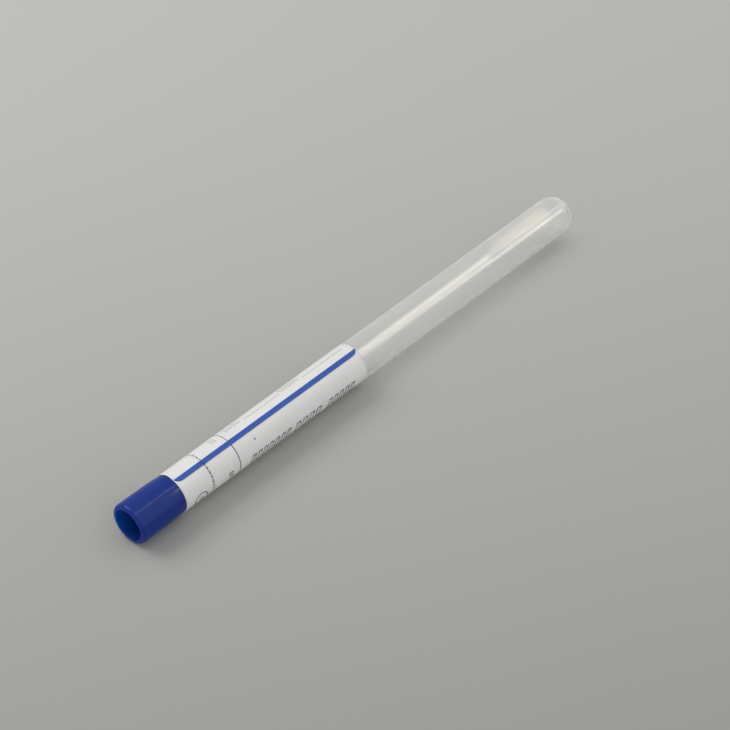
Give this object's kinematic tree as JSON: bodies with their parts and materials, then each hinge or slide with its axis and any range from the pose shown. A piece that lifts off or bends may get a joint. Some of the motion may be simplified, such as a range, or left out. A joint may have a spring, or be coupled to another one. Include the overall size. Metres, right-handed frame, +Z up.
{
  "type": "specimen swab tube",
  "caption": "Round-bottomed transport tube lying on its side, closed by a hollow plug cap that carries a cotton-tipped swab, with a paper label and seal band.",
  "frame": {"origin": "on the surface that the tube lies on, under the middle of its length", "axes": "+X along the tube's axis from the cap to the round end, +Z up"},
  "size_m": [0.1816, 0.0126, 0.0127],
  "materials": {
    "tube_plastic": "frosted, translucent",
    "cap_plastic": "satin",
    "shaft_plastic": "smooth",
    "cotton": "wound fibre",
    "label_paper": "matte, coated"
  },
  "bodies": {
    "tube_with_label": {"tube": "tube_plastic", "label": "label_paper"},
    "swab_with_cap": {"cap": "cap_plastic", "shaft": "shaft_plastic", "cotton_tip": "cotton", "seal_band": "label_paper"}
  },
  "joints": [
    {"name": "cap_pull", "type": "slide", "parent": "tube_with_label", "child": "swab_with_cap", "axis": [-1, 0, 0], "range_m": [0, 0.149]}
  ]
}
